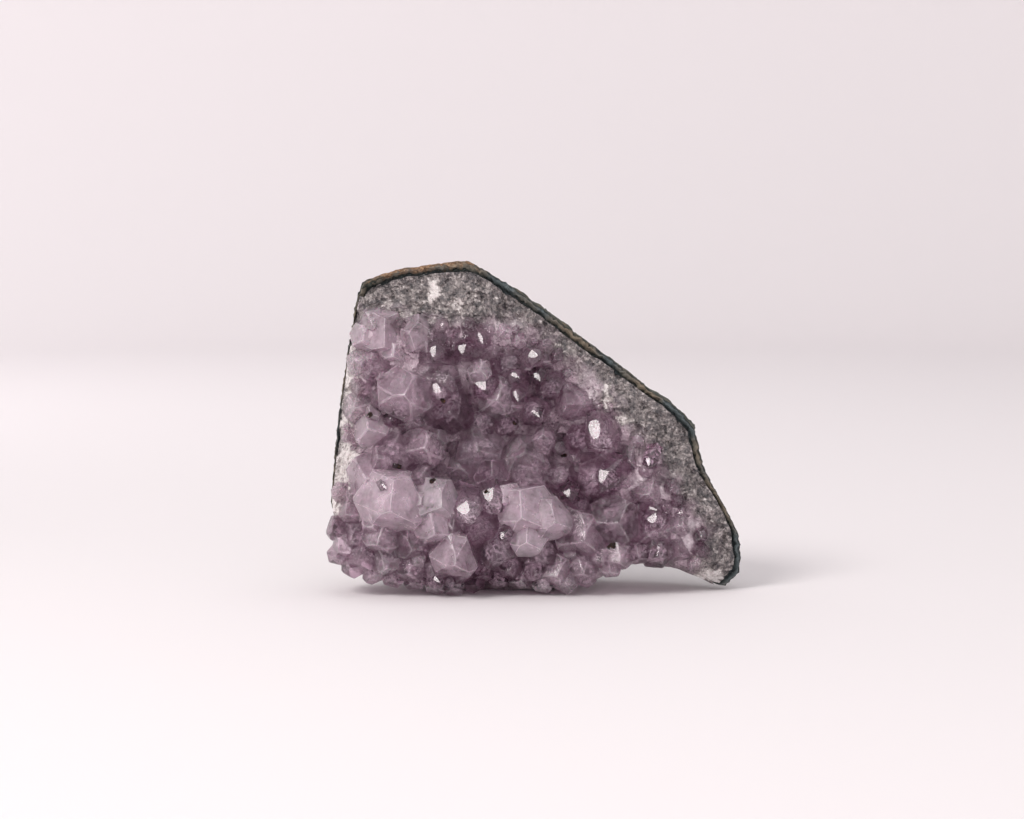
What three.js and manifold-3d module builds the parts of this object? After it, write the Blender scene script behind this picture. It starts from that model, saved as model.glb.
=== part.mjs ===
// Amethyst cluster: a broken piece of geode wall that stands on its lower edge.
// Millimetres, +X to the right, +Y from the crystals to the rind, +Z up, floor at Z = 0.
// The wall has three layers: a thin earthy rind, massive grey quartz, and a druse of amethyst
// points that grew into each other.

import * as THREE from 'three';
import { mergeVertices } from 'three/addons/utils/BufferGeometryUtils.js';
import Module from 'manifold-3d';

const WIDTH = 90.2;
const HEIGHT = 71;
const DEPTH = 40;
const GAP = 0.3; // clearance between touching layers
const RIND = 2.2; // thickness of the rind
const RIM_Y = -2; // plane of the broken rim that faces forward
const BACK_Y = 20; // crown of the rounded back
const CRUST = 4; // the crystals' shared crust, in front of the quartz
const ROOT = 2.5; // how far each crystal reaches into the crust
const FOOT_DROP = 8; // how far the outlines run below the floor before the foot is cut flat
const SLIVER = 0.01; // edges shorter than this are closed up
const CUT = 200; // size of a cutting block, larger than the part

// Half axes and middle of the rounded back.
const DOME = { x: 62, y: 39.3, z: 54, cx: 0, cy: -20, cz: 29 };
const DOME_STEPS = 36;
const LUMP = 0.9; // height of the low swells on the back

// The hollow in the rim that the druse lines.
const HOLLOW = { x: 34, y: 17, z: 26, cx: -4, cy: -12, cz: 33 };
const HOLLOW_STEPS = 24;

// Broken edge that the rind follows: lower right tip, up the right side, over the top, down the left.
const SKIN_EDGE = [
  [41.6, 0.6], [45.1, 5.5], [44.6, 11.6], [38.9, 22.5], [36.2, 28.6], [34.7, 34.6], [28.6, 41.0],
  [18.2, 48.9], [3.4, 59.8], [-8.2, 67.6], [-14.6, 71.0], [-22.3, 70.2], [-36.4, 67.0], [-39.0, 56.6],
  [-41.6, 39.2], [-43.4, 20.0], [-41.0, 8.0],
];

// Lower edge, left to right: a flat foot, then an arch that runs up to the right-hand tip.
const FOOT_EDGE = [
  [-35.0, 2.0], [-31.0, -FOOT_DROP], [14.0, -FOOT_DROP], [17.5, 3.5], [23.0, 5.6], [30.5, 5.0], [37.0, 1.9],
];

// Area that the crystals cover, from the lower left, over the top, to the right-hand end.
const DRUSE_EDGE = [
  [-41.0, 6.0], [-43.2, 16.0], [-42.4, 28.0], [-40.4, 42.0], [-38.2, 58.0], [-24.2, 56.0], [-2.0, 55.4],
  [8.0, 48.2], [19.5, 35.4], [29.0, 20.6], [34.8, 13.5], [33.0, 5.4], [24.0, 6.0], [17.0, 3.4],
  [14.0, 0], [-35.0, 0],
];

// The large points: middle of the crown across and up, width, lean across and up, height above
// the crust. A lean is the sideways travel for each unit of length.
const LARGE_POINTS = [
  // upper left, on the flank of the hollow
  [-31.3, 53.0, 9.5, 0.10, -0.35, 7], [-20.8, 50.8, 8.5, 0.05, -0.40, 8], [-13.8, 50.6, 7.0, -0.15, -0.35, 8],
  [-37.4, 48.2, 6.5, -0.30, 0.10, 6], [-26.8, 43.1, 10.0, 0.05, 0.02, 10], [-37.0, 39.4, 6.5, -0.35, 0.05, 7],
  // middle of the hollow
  [-17.6, 38.6, 9.5, 0.10, -0.15, 6], [-7.3, 41.8, 9.0, -0.05, -0.20, 7], [-11.1, 47.6, 5.5, 0.05, 0.10, 9],
  [0.6, 47.4, 8.5, -0.10, -0.30, 8], [7.3, 40.9, 9.0, -0.25, -0.20, 8], [-1.7, 32.0, 10.0, 0.00, 0.45, 11],
  [-11.4, 30.9, 9.6, 0.00, 0.10, 10], [9.4, 31.6, 8.0, -0.20, -0.05, 7], [-22.9, 32.8, 8.5, 0.10, 0.10, 10],
  // proud crystals of the lower left
  [-30.2, 33.0, 7.5, -0.10, 0.20, 9], [-34.6, 26.0, 9.5, -0.25, 0.15, 12], [-30.0, 19.2, 12.0, -0.05, -0.10, 14],
  [-19.1, 19.6, 11.5, 0.25, 0.00, 14], [-21.0, 26.4, 7.0, 0.05, 0.20, 12], [-38.6, 15.0, 8.0, -0.35, -0.10, 9],
  [-23.6, 11.6, 8.5, -0.05, -0.20, 12], [-16.2, 8.0, 9.0, 0.05, -0.25, 12], [-32.4, 9.6, 8.0, -0.15, -0.25, 10],
  // lower middle
  [-9.2, 25.4, 6.5, 0.05, 0.05, 9], [-0.9, 24.4, 7.5, 0.05, 0.10, 8], [-3.0, 16.8, 12.0, -0.05, 0.00, 13],
  [5.2, 16.4, 7.5, 0.15, 0.00, 12], [10.6, 11.4, 9.5, 0.10, -0.15, 11], [-8.4, 8.2, 8.0, 0.00, -0.20, 10],
  [1.6, 6.8, 7.5, 0.00, -0.30, 9],
  // right-hand end
  [13.6, 23.6, 8.0, 0.00, 0.05, 9], [18.9, 16.1, 9.5, 0.10, 0.05, 10], [17.6, 30.4, 7.0, -0.15, 0.05, 6],
  [24.6, 21.2, 7.5, 0.05, 0.10, 7], [26.0, 11.4, 8.0, 0.10, -0.15, 8], [31.4, 12.6, 6.5, 0.25, -0.05, 6],
];

// Small points fill the spaces between the large ones, on a loose grid over the druse.
const SMALL_ROWS = 10;
const SMALL_COLUMNS = 13;
const SMALL_WIDTH = 5.8;
const SMALL_HEIGHT = 4.5;
const SMALL_LEAN = 0.2;
const SMALL_AREA = { left: -45, right: 35, low: 0, high: 58 };

const wasm = await Module();
wasm.setup();

// Seeded noise in 0..1, the same on every run.
function scatter(n) {
  const value = Math.sin(n * 12.9898 + 4.1) * 43758.5453;
  return value - Math.floor(value);
}

// A closed geometry with only its positions, its shared vertices merged and collapsed faces left out.
function welded(geometry, tolerance) {
  geometry.deleteAttribute('normal');
  geometry.deleteAttribute('uv');
  const merged = mergeVertices(geometry, tolerance);
  const index = merged.index.array;
  const faces = [];
  for (let i = 0; i < index.length; i += 3) {
    const [a, b, c] = [index[i], index[i + 1], index[i + 2]];
    if (a !== b && b !== c && c !== a) faces.push(a, b, c);
  }
  return merged.setIndex(faces);
}

// A closed geometry as a solid that can be joined and cut.
function solid(geometry) {
  const { attributes, index } = welded(geometry, 1e-4);
  const mesh = new wasm.Mesh({
    numProp: 3,
    vertProperties: new Float32Array(attributes.position.array),
    triVerts: new Uint32Array(index.array),
  });
  return new wasm.Manifold(mesh);
}

// A solid back as flat-shaded geometry, without the slivers that joins and cuts leave.
function geometryOf(body) {
  const { vertProperties, triVerts } = body.getMesh();
  const geometry = new THREE.BufferGeometry();
  geometry.setAttribute('position', new THREE.BufferAttribute(vertProperties, 3));
  geometry.setIndex(new THREE.BufferAttribute(triVerts, 1));
  const flat = welded(geometry, SLIVER).toNonIndexed();
  flat.computeVertexNormals();
  return flat;
}

// Outline across and up, run from front to back.
function slab(points, front, back) {
  const shape = new THREE.Shape(points);
  const geometry = new THREE.ExtrudeGeometry(shape, { depth: back - front, bevelEnabled: false });
  geometry.rotateX(Math.PI / 2);
  geometry.translate(0, back, 0);
  return solid(geometry);
}

function block(x, y, z, cx, cy, cz) {
  return solid(new THREE.BoxGeometry(x, y, z).translate(cx, cy, cz));
}

// Ellipsoid of the given half axes, made smaller by inset and swollen by low lumps.
function ellipsoid(size, inset, steps, lump) {
  const geometry = new THREE.SphereGeometry(1, steps, steps / 2);
  const position = geometry.attributes.position;
  const p = new THREE.Vector3();
  for (let i = 0; i < position.count; i += 1) {
    p.fromBufferAttribute(position, i);
    const swell = lump * (Math.sin(7 * p.x + 2) * Math.cos(8 * p.z) + Math.sin(5 * p.z + 9 * p.x) / 2);
    const shrink = swell - inset;
    p.set(p.x * (size.x + shrink), p.y * (size.y + shrink), p.z * (size.z + shrink));
    p.add(new THREE.Vector3(size.cx, size.cy, size.cz));
    position.setXYZ(i, p.x, p.y, p.z);
  }
  return solid(geometry);
}

function toVectors(points) {
  return points.map(([x, z]) => new THREE.Vector2(x, z));
}

// The rind's edge moved inwards: each point goes along the normal of its neighbours' chord.
function skinEdge(inset) {
  const edge = toVectors(SKIN_EDGE);
  return edge.map((point, i) => {
    const before = edge[Math.max(i - 1, 0)];
    const after = edge[Math.min(i + 1, edge.length - 1)];
    const along = after.clone().sub(before).normalize();
    return point.clone().add(new THREE.Vector2(-along.y, along.x).multiplyScalar(inset));
  });
}

// Whole section of the wall.
function wallOutline() {
  return [...skinEdge(0), ...toVectors(FOOT_EDGE)];
}

// Section inside the rind, open at the foot, where the rind is broken away.
function coreOutline(inset) {
  const edge = skinEdge(inset);
  const left = edge[edge.length - 1];
  const right = edge[0];
  const low = -2 * FOOT_DROP;
  return [...edge, new THREE.Vector2(left.x, low), new THREE.Vector2(right.x, low)];
}

function wall() {
  return slab(wallOutline(), RIM_Y, BACK_Y + CUT).intersect(ellipsoid(DOME, 0, DOME_STEPS, LUMP));
}

// What lies further in than the given depth below the skin.
function core(inset) {
  const inside = slab(coreOutline(inset), RIM_Y - 1, BACK_Y + CUT);
  return inside.intersect(ellipsoid(DOME, inset, DOME_STEPS, LUMP));
}

function belowFloor() {
  return block(CUT, CUT, CUT, 0, 0, -CUT / 2);
}

// Everything behind the face that the crust sits on: the rim's plane and the hollow's wall.
function behindCrust() {
  const half = block(CUT, CUT, CUT, 0, RIM_Y - GAP + CUT / 2, 0);
  return half.subtract(ellipsoid(HOLLOW, GAP, HOLLOW_STEPS, 0));
}

function rind() {
  return wall().subtract(core(RIND)).subtract(belowFloor());
}

function quartzBase() {
  const mass = wall().intersect(core(RIND + GAP));
  return mass.subtract(ellipsoid(HOLLOW, 0, HOLLOW_STEPS, 0)).subtract(belowFloor());
}

// Front of the crust, where the crystals stand.
function crustFront(x, z) {
  const across = (x - HOLLOW.cx) / (HOLLOW.x - CRUST);
  const up = (z - HOLLOW.cz) / (HOLLOW.z - CRUST);
  const left = 1 - across * across - up * up;
  const plane = RIM_Y - CRUST;
  if (left <= 0) return plane;
  return Math.max(plane, HOLLOW.cy + (HOLLOW.y - CRUST) * Math.sqrt(left));
}

// The layer that all the crystals grow from.
function crust() {
  const sheet = slab(toVectors(DRUSE_EDGE), RIM_Y - CRUST, HOLLOW.cy + HOLLOW.y + 1);
  return sheet.subtract(ellipsoid(HOLLOW, CRUST, HOLLOW_STEPS, 0));
}

// One six-sided point: a prism that tapers a little, under a six-faced pyramid with its tip to
// one side. Its crown is at (x, z) and it leans as it grows.
function crystalPoint(x, z, width, leanX, leanZ, height, seed) {
  const radius = width / Math.sqrt(3);
  const cap = radius * (0.75 + 0.35 * scatter(seed));
  const shoulder = ROOT + Math.max(height - cap, 1);
  const profile = toVectors([[0, 0], [radius, 0], [radius * 0.94, shoulder], [0, shoulder + cap]]);
  const geometry = new THREE.LatheGeometry(profile, 6);
  const position = geometry.attributes.position;
  const offset = radius * 0.35 * (scatter(seed + 0.5) - 0.5);
  for (let i = 0; i < position.count; i += 1) {
    if (position.getY(i) > shoulder + cap / 2) position.setX(i, position.getX(i) + offset);
  }
  const up = new THREE.Vector3(0, 1, 0);
  const aim = new THREE.Vector3(leanX, -1, leanZ).normalize();
  const turn = new THREE.Quaternion().setFromUnitVectors(up, aim);
  turn.multiply(new THREE.Quaternion().setFromAxisAngle(up, seed * 2.4));
  const foot = new THREE.Vector3(x - leanX * height, crustFront(x, z) + ROOT, z - leanZ * height);
  return solid(geometry.applyMatrix4(new THREE.Matrix4().compose(foot, turn, new THREE.Vector3(1, 1, 1))));
}

// True where (x, z) lies inside the druse: a line to the right crosses its edge an odd number of times.
function inDruse(x, z) {
  let inside = false;
  DRUSE_EDGE.forEach(([ax, az], i) => {
    const [bx, bz] = DRUSE_EDGE[(i + 1) % DRUSE_EDGE.length];
    const spans = (az > z) !== (bz > z);
    if (spans && x < ax + ((bx - ax) * (z - az)) / (bz - az)) inside = !inside;
  });
  return inside;
}

// One small point in its grid cell, moved, sized and leaned by the seeded noise.
function smallPoint(row, column) {
  const seed = row * SMALL_COLUMNS + column + 1;
  const { left, right, low, high } = SMALL_AREA;
  const x = left + ((column + scatter(seed)) * (right - left)) / SMALL_COLUMNS;
  const z = low + ((row + scatter(seed + 300)) * (high - low)) / SMALL_ROWS;
  const width = SMALL_WIDTH * (0.75 + 0.5 * scatter(seed + 600));
  const height = SMALL_HEIGHT * (0.8 + 0.7 * scatter(seed + 900));
  const leanX = SMALL_LEAN * (scatter(seed + 1200) - 0.5);
  const leanZ = SMALL_LEAN * (scatter(seed + 1500) - 0.5);
  return [x, z, width, leanX, leanZ, height];
}

function smallPoints() {
  const points = [];
  for (let row = 0; row < SMALL_ROWS; row += 1) {
    for (let column = 0; column < SMALL_COLUMNS; column += 1) points.push(smallPoint(row, column));
  }
  return points.filter(([x, z]) => inDruse(x, z));
}

function amethystCrystals() {
  let body = crust();
  [...LARGE_POINTS, ...smallPoints()].forEach((point, i) => {
    body = body.add(crystalPoint(...point, i + 1));
  });
  const space = block(WIDTH, DEPTH, HEIGHT, 0, BACK_Y - DEPTH / 2, HEIGHT / 2);
  return body.subtract(behindCrust()).intersect(space);
}

function layer(name, body, color, roughness) {
  const material = new THREE.MeshStandardMaterial({ color, roughness, metalness: 0 });
  const mesh = new THREE.Mesh(geometryOf(body), material);
  mesh.name = name;
  return mesh;
}

const cluster = new THREE.Group();
cluster.add(
  layer('rind', rind(), 0x5d5c50, 0.9),
  layer('quartz_base', quartzBase(), 0x8c8484, 0.55),
  layer('amethyst_crystals', amethystCrystals(), 0xab8fa3, 0.2),
);

// The origin goes to the middle of the foot of the whole part's box.
const box = new THREE.Box3().setFromObject(cluster);
const middle = box.getCenter(new THREE.Vector3());
cluster.children.forEach((mesh) => mesh.position.set(-middle.x, -middle.y, -box.min.z));

export default cluster;
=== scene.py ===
"""Amethyst cluster: a broken piece of geode wall that stands on its lower edge."""

import math
import random

import bmesh
import bpy
import numpy as np
from mathutils import Matrix, Quaternion, Vector, noise
from mathutils.bvhtree import BVHTree


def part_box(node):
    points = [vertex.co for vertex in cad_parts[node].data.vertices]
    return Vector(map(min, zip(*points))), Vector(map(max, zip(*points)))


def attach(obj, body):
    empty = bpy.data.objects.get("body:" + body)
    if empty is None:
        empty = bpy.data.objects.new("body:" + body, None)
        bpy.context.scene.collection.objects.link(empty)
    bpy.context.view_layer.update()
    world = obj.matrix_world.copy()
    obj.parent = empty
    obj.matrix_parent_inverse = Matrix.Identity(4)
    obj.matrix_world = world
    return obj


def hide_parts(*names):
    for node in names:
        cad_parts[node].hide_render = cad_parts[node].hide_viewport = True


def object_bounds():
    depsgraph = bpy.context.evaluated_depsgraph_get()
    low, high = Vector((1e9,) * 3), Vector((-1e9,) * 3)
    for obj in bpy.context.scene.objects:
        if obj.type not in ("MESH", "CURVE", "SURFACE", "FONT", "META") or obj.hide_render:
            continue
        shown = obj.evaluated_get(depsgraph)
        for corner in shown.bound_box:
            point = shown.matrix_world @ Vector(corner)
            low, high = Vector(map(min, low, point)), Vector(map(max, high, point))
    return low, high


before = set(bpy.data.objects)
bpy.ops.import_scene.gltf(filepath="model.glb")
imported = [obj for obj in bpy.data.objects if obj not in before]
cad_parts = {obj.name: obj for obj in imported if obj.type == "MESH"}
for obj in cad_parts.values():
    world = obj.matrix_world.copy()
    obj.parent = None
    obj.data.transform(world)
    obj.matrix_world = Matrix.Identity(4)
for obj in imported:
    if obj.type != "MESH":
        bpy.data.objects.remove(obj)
cad_low, cad_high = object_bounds()

MM = 0.001
SEED = 41
INSIDE_BOX = 0.05  # how far every point stays inside the solid model's box, mm

noise.seed_set(SEED)  # without it, noise vectors change from run to run

LOW = Vector(cad_low) / MM
HIGH = Vector(cad_high) / MM
WALL_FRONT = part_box("rind")[0].y / MM  # plane of the broken rim that faces forward, mm
WALL_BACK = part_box("rind")[1].y / MM

# ---------------------------------------------------------------- shape of the wall, mm

RIND = 2.1  # greatest thickness of the rind where its broken edge shows
SHELL = 4.0  # its thickness inside, out of sight, so that the swells on its back never break through
CRUST = 3.4  # the crystals' milky roots, in front of the wall

# Broken edge that the rind follows: lower right tip, up the right side, over the top, down the left.
SKIN_EDGE = [
    (41.6, 0.6), (44.6, 3.6), (45.0, 6.6), (44.4, 11.8), (41.6, 17.6), (38.7, 22.6), (36.6, 27.0),
    (35.9, 30.4), (34.9, 34.4), (32.6, 37.4), (29.2, 40.6), (25.8, 42.6), (22.6, 45.4), (18.0, 48.8),
    (11.0, 54.0), (3.4, 59.6), (-4.8, 65.4), (-9.4, 68.4), (-12.4, 70.0), (-14.8, 70.8), (-18.6, 70.4),
    (-23.0, 69.8), (-27.6, 69.2), (-32.6, 67.8), (-36.4, 66.4), (-37.4, 63.4), (-38.8, 56.6),
    (-40.2, 49.2), (-41.6, 39.2), (-42.8, 28.6), (-43.6, 19.0), (-42.0, 11.0),
]

# Lower edge, left to right: the flat foot, then the arch up to the right-hand tip.
FOOT_EDGE = [
    (-37.6, 6.4), (-31.0, 3.4), (-23.0, 1.4), (-14.0, 0.0), (-4.0, 0.0), (8.0, 0.4), (14.4, 2.6), (17.4, 4.6),
    (20.6, 5.8), (25.0, 6.0), (30.0, 5.0), (35.0, 3.0), (38.6, 1.2),
]

# Middle that the rings of the wall run round.
HUB = (-8.0, 30.0)

# Border between the crystals and the grey quartz, from the lower left over the top to the right.
GREY_BORDER = [
    (-43.6, 18.0), (-39.6, 27.0), (-38.8, 40.0), (-37.4, 50.0), (-35.6, 58.0), (-30.0, 58.0),
    (-24.2, 56.0), (-16.0, 56.2), (-8.0, 56.4), (-1.0, 55.0), (8.0, 48.6), (13.4, 42.4), (19.6, 35.4),
    (25.6, 27.6), (29.4, 21.4), (34.6, 15.4), (36.2, 9.0), (33.6, 4.6),
]

# Lower and left edge of the crystals, where they reach the outline.
FREE_BORDER = [(24.0, 5.0), (17.0, 2.4), (14.0, -1.0), (-34.0, -1.0), (-43.0, 6.0), (-45.0, 13.0)]

DRUSE_EDGE = GREY_BORDER + FREE_BORDER

# White, crushed spots on the grey quartz: middle, half width, half height, strength.
MILKY_SPOTS = [
    (-21.2, 64.4, 1.1, 2.4, 1.0), (-15.5, 61.0, 3.0, 1.6, 0.35), (-28.0, 58.0, 5.0, 2.0, 0.3),
    (15.8, 40.6, 1.0, 2.8, 0.7), (18.6, 36.8, 2.2, 0.8, 0.6), (38.6, 3.2, 3.0, 1.3, 1.0),
    (35.4, 7.0, 1.6, 1.2, 0.5), (-40.6, 30.0, 3.4, 11.0, 0.8),
    (-38.8, 46.0, 2.4, 8.0, 0.6), (-42.0, 20.0, 2.6, 5.0, 0.8), (4.0, 51.5, 2.4, 1.4, 0.35),
]

# The hollow that the druse lines: half axes and middle.
HOLLOW = {"x": 31.0, "y": 13.6, "z": 23.5, "at": Vector((-3.0, -12.0, 35.0))}

# The rounded back: half axes, height of its middle, and how far its middle lies in front of the box's back.
BACK = {"x": 62.0, "y": 38.6, "z": 54.0, "middle": 29.0, "in_front": 39.3}


def smooth_step(edge0, edge1, value):
    """0 at the first edge, 1 at the second, with a soft start and end."""
    t = min(max((value - edge0) / (edge1 - edge0), 0.0), 1.0)
    return t * t * (3.0 - 2.0 * t)


def loop_at(points, hub, angle):
    """Distance from the hub to the closed outline in one direction."""
    dx, dz = math.cos(angle), math.sin(angle)
    best = 0.0
    for (ax, az), (bx, bz) in zip(points, points[1:] + points[:1]):
        ex, ez = bx - ax, bz - az
        cross = dx * ez - dz * ex
        if abs(cross) < 1e-9:
            continue
        px, pz = ax - hub[0], az - hub[1]
        t = (px * ez - pz * ex) / cross
        u = (px * dz - pz * dx) / cross
        if t > 0.0 and -1e-6 <= u <= 1.0 + 1e-6:
            best = max(best, t)
    return best


def to_stretch(x, z, start, end):
    """Distance from a point to one straight stretch of an outline."""
    (ax, az), (bx, bz) = start, end
    ex, ez = bx - ax, bz - az
    t = ((x - ax) * ex + (z - az) * ez) / (ex * ex + ez * ez)
    t = min(max(t, 0.0), 1.0)
    return math.hypot(x - ax - t * ex, z - az - t * ez)


def border_distance(x, z):
    """Distance to the grey border, for a point on the crystals' side."""
    return min(to_stretch(x, z, a, b) for a, b in zip(GREY_BORDER, GREY_BORDER[1:]))


def edge_distance(points, x, z):
    """Signed distance to a closed outline, positive inside."""
    inside = False
    stretches = list(zip(points, points[1:] + points[:1]))
    for (ax, az), (bx, bz) in stretches:
        if (az > z) != (bz > z) and x < ax + (bx - ax) * (z - az) / (bz - az):
            inside = not inside
    nearest = min(to_stretch(x, z, a, b) for a, b in stretches)
    return nearest if inside else -nearest


def hollow_depth(x, z):
    """How far behind the flat front the hollow's wall lies, 0 outside the hollow."""
    at = HOLLOW["at"]
    left = 1.0 - ((x - at.x) / HOLLOW["x"]) ** 2 - ((z - at.z) / HOLLOW["z"]) ** 2
    if left <= 0.0:
        return 0.0
    return max(at.y + HOLLOW["y"] * math.sqrt(left) - (WALL_FRONT - CRUST), 0.0)


def druse_floor(x, z):
    """Front of the milky root layer that the crystals stand on."""
    return WALL_FRONT - CRUST + hollow_depth(x, z)


def back_of(x, z):
    """Outer surface of the rounded back."""
    left = 1.0 - (x / BACK["x"]) ** 2 - ((z - BACK["middle"]) / BACK["z"]) ** 2
    return WALL_BACK - BACK["in_front"] + BACK["y"] * math.sqrt(max(left, 0.05))


def clamp(point):
    """Keeps a point inside the solid model's box."""
    return Vector([
        min(max(c, lo + INSIDE_BOX), hi - INSIDE_BOX)
        for c, lo, hi in zip(point, LOW, HIGH)
    ])


# ---------------------------------------------------------------- meshes


def add_piece(name, mesh):
    """Puts a finished mesh in the scene as a piece of the cluster."""
    piece = bpy.data.objects.new(name, mesh)
    bpy.context.scene.collection.objects.link(piece)
    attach(piece, "root")
    return piece


def closed_mesh(name, rings, front_pole, back_pole):
    """A closed mesh from rings of equal length, with a point at each end."""
    count = len(rings[0])
    points = [front_pole] + [p for ring in rings for p in ring] + [back_pole]
    faces = []
    last = len(points) - 1
    for i in range(count):
        j = (i + 1) % count
        faces.append((0, 1 + i, 1 + j))
        for r in range(len(rings) - 1):
            a = 1 + r * count
            b = a + count
            faces.append((a + i, b + i, b + j, a + j))
        c = 1 + (len(rings) - 1) * count
        faces.append((last, c + j, c + i))
    mesh = bpy.data.meshes.new(name)
    mesh.from_pydata([clamp(p) * MM for p in points], [], faces)
    mesh.validate()
    return mesh


def turn_out(bm):
    """Makes every face of one closed body look outwards."""
    bmesh.ops.recalc_face_normals(bm, faces=bm.faces)
    if bm.calc_volume(signed=True) < 0:
        bmesh.ops.reverse_faces(bm, faces=bm.faces)


def face_out(mesh):
    """The same for a mesh that is already stored."""
    bm = bmesh.new()
    bm.from_mesh(mesh)
    turn_out(bm)
    bm.to_mesh(mesh)
    bm.free()


def keep_largest(bm):
    """Leaves only the body with the most faces."""
    left = set(bm.faces)
    bodies = []
    while left:
        edge_of_search = [left.pop()]
        body = []
        while edge_of_search:
            face = edge_of_search.pop()
            body.append(face)
            for near in {f for e in face.edges for f in e.link_faces} & left:
                left.remove(near)
                edge_of_search.append(near)
        bodies.append(body)
    bodies.sort(key=len)
    for body in bodies[:-1]:
        bmesh.ops.delete(bm, geom=body, context="FACES")


def surface_of(piece):
    """The piece's surface, for finding where lines and points meet it."""
    mesh = piece.data
    return BVHTree.FromPolygons([v.co for v in mesh.vertices], [f.vertices for f in mesh.polygons])


def set_points(mesh, name, values):
    """Stores one value for each point, for the materials to read."""
    attribute = mesh.attributes.new(name, "FLOAT", "POINT")
    attribute.data.foreach_set("value", values)


SECTORS = 440  # points in every ring of the wall
DIRECTIONS = 4000  # in which the outline is measured before its points are spaced out
WALL_EDGE = SKIN_EDGE + FOOT_EDGE


def sector_angles():
    """Angles round the hub, evenly spaced along the outline and not by angle."""
    dense = [2 * math.pi * i / DIRECTIONS for i in range(DIRECTIONS)]
    spots = [(HUB[0] + r * math.cos(a), HUB[1] + r * math.sin(a))
             for a in dense for r in [loop_at(WALL_EDGE, HUB, a)]]
    length = [0.0]
    for (ax, az), (bx, bz) in zip(spots, spots[1:] + spots[:1]):
        length.append(length[-1] + math.hypot(bx - ax, bz - az))
    total = length[-1]
    return list(np.interp([total * i / SECTORS for i in range(SECTORS)], length, dense + [2 * math.pi]))


ANGLES = sector_angles()
REACH = [loop_at(WALL_EDGE, HUB, a) for a in ANGLES]


def is_foot(i):
    """1 where the outline is the broken foot, 0 where it carries the rind."""
    x = HUB[0] + REACH[i] * math.cos(ANGLES[i])
    z = HUB[1] + REACH[i] * math.sin(ANGLES[i])
    low_line = 8.5 if x < -30 else 6.3
    on_foot = -41.0 < x < 39.5 and z < low_line
    return 1.0 if on_foot else 0.0


FOOT = [is_foot(i) for i in range(SECTORS)]


def at_sector(i, inset, y):
    r = REACH[i] - inset
    return Vector((HUB[0] + r * math.cos(ANGLES[i]), y, HUB[1] + r * math.sin(ANGLES[i])))


def edge_wobble(i):
    """The broken edge runs in and out a little along the rind."""
    a = at_sector(i, 0.0, 0.0)
    fine = noise.noise(a * 0.55) * 0.35 + noise.noise(a * 1.6 + Vector((9, 0, 0))) * 0.32
    fine += noise.noise(a * 3.4) * 0.22
    return (abs(fine) + 0.05) * (1.0 - FOOT[i])


def rind_width(i):
    """The rind is thin down the left, thickest over the top, and swells and thins along the way."""
    spot = at_sector(i, 0.0, 0.0)
    left = smooth_step(-33.0, -38.0, spot.x) if spot.z < 64 else 0.0
    top = smooth_step(60.0, 66.0, spot.z) * smooth_step(-2.0, -8.0, spot.x)
    wave = 0.45 * noise.noise(spot * 0.16 + Vector((2, 0, 7))) + 0.25 * noise.noise(spot * 0.6)
    return (RIND * (0.92 + 0.18 * top) + wave) * (1 - left) + 0.8 * left


def rim_front(i):
    """Where the rim's broken face meets the rind: a little behind the plane, and uneven."""
    a = at_sector(i, 0.0, 0.0)
    return WALL_FRONT + 1.2 + 1.1 * noise.noise(a * 0.12) + 0.35 * noise.noise(a * 0.7)


def grain(p, size, depth):
    """Flat broken grains: each cell of a loose lattice has its own tilt and its own step."""
    cell = noise.voronoi(p / size)[1][0]
    tilt = noise.cell_vector(cell * 7.3) - Vector((0.5, 0.5, 0.5))
    away = (p / size) - cell
    return depth * (1.2 * away.dot(tilt) + 0.5 * (noise.cell(cell * 3.7) - 0.5))


BACK_RINGS = 90
SIDE_RINGS = 24
BACK_RADIUS = 36.0  # the rings on the back turn into circles of this radius, which then shrink, mm
BACK_INSET = 0.6  # how much narrower the rind is at the back of its sides, mm

# Layers of the rind's broken edge, from its inner to its outer edge: share of the rind's width, and
# how far each stands back, mm.
LAYERS = [(1.0, 0.5), (0.86, -0.40), (0.72, 0.25), (0.5, -0.15), (0.3, -0.5), (0.12, 0.1), (0.0, 0.55)]


def broken_rings():
    """Rings of the rind's layered broken edge."""
    rings = []
    for part, rise in LAYERS:
        ring = []
        for i in range(SECTORS):
            base = rim_front(i) if not FOOT[i] else back_of(*at_sector(i, 0, 0).xz) - RIND
            width = rind_width(i) if not FOOT[i] else 0.6 * RIND
            ragged = 0.34 * noise.noise(at_sector(i, 0, part * 9) * 1.1) * (part < 1) * (part > 0)
            ring.append(at_sector(i, (part + ragged) * width + edge_wobble(i), base + rise))
        rings.append(ring)
    return rings


def outer_rings(rim):
    """Rings of the rind's outer side, from the rim of its broken edge, and of its back."""
    rings = []
    for k in range(1, SIDE_RINGS + 1):
        t = k / SIDE_RINGS
        ring = []
        for i in range(SECTORS):
            spot = at_sector(i, 0, 0)
            start = rim[i].y
            end = back_of(spot.x, spot.z)
            y = start + (end - start) * t
            ring.append(at_sector(i, edge_wobble(i) * (1 - t) + BACK_INSET * t * t, y))
        rings.append(ring)
    for k in range(1, BACK_RINGS):
        t = (k / BACK_RINGS) ** 0.9
        rounded = smooth_step(0.0, 0.6, t)
        ring = []
        for i in range(SECTORS):
            reach = (REACH[i] - BACK_INSET) * (1 - rounded) + BACK_RADIUS * rounded
            spot = at_sector(i, REACH[i] - reach * (1 - t), 0)
            ring.append(Vector((spot.x, back_of(spot.x, spot.z) - 0.5 * math.exp(-t * 30), spot.z)))
        rings.append(ring)
    return rings


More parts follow.
